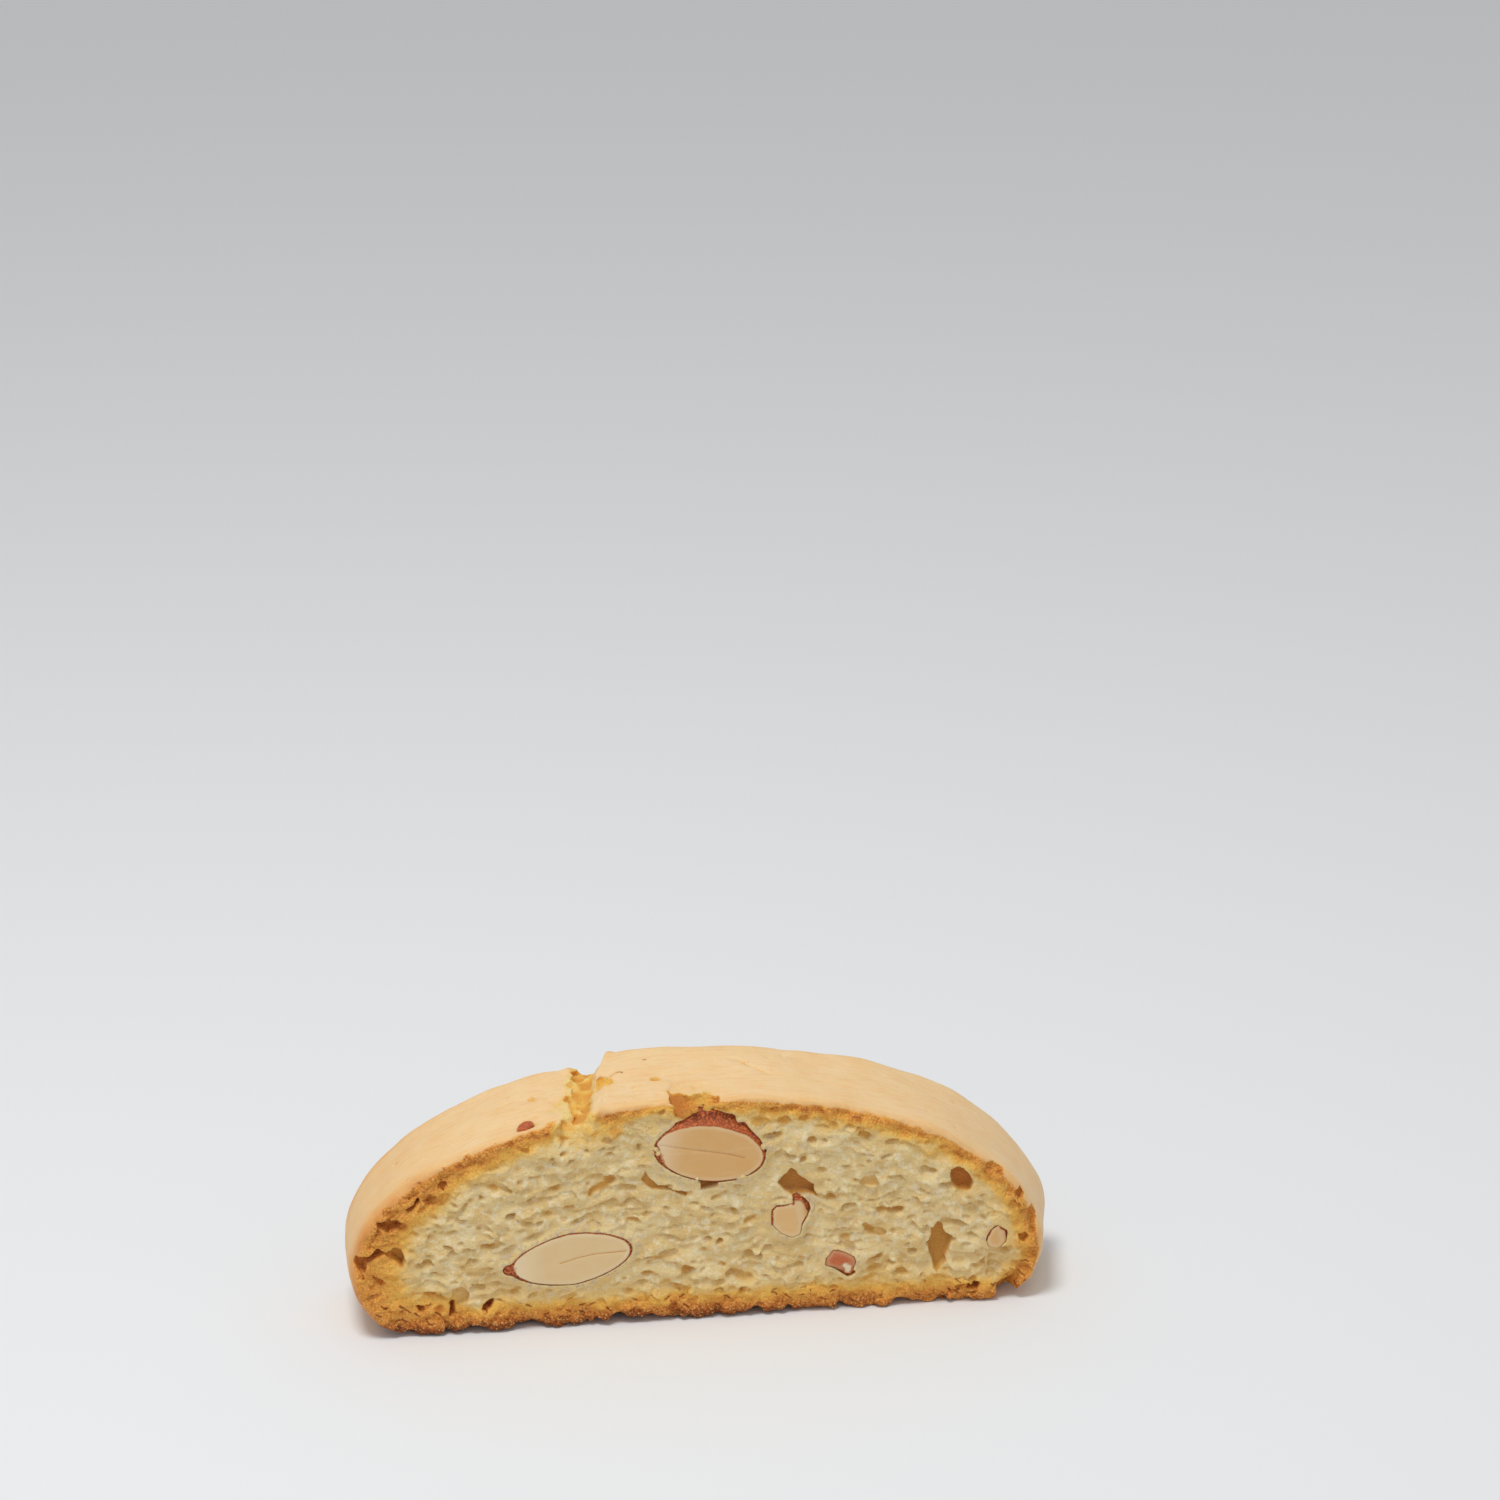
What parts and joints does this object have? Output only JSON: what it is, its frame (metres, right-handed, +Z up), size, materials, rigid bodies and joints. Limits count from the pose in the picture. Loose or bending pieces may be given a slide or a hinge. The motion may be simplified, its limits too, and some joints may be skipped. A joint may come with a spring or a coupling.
{
  "type": "almond biscotti slice",
  "caption": "One slice of a domed almond loaf, baked twice, with a smooth crust, two open-crumbed cut faces and cut almonds in them.",
  "frame": {"origin": "middle of the base crust, on the surface that the slice stands on", "axes": "+X along the slice, +Y through its thickness towards the back cut face, +Z up to the crest of the dome"},
  "size_m": [0.1138, 0.02, 0.0394],
  "materials": {
    "dough": "baked dough: pale open crumb on the cut faces, smooth golden satin crust over the top, rough toasted brown crust at the rims and base",
    "almond_flesh": "cut almond: smooth cream flesh with a thin dark brown line of skin round it",
    "almond_skin": "granular red-brown almond skin"
  },
  "bodies": {
    "root": {"biscotti_slice": "dough", "almond_upper": "almond_flesh", "almond_lower": "almond_flesh", "almond_back_high": "almond_flesh", "almond_back_low": "almond_flesh", "almond_chip_middle": "almond_flesh", "almond_chip_red": "almond_skin", "almond_chip_right": "almond_flesh", "almond_chip_crust": "almond_skin", "almond_chip_back": "almond_flesh", "almond_chip_back_end": "almond_flesh"}
  },
  "joints": []
}
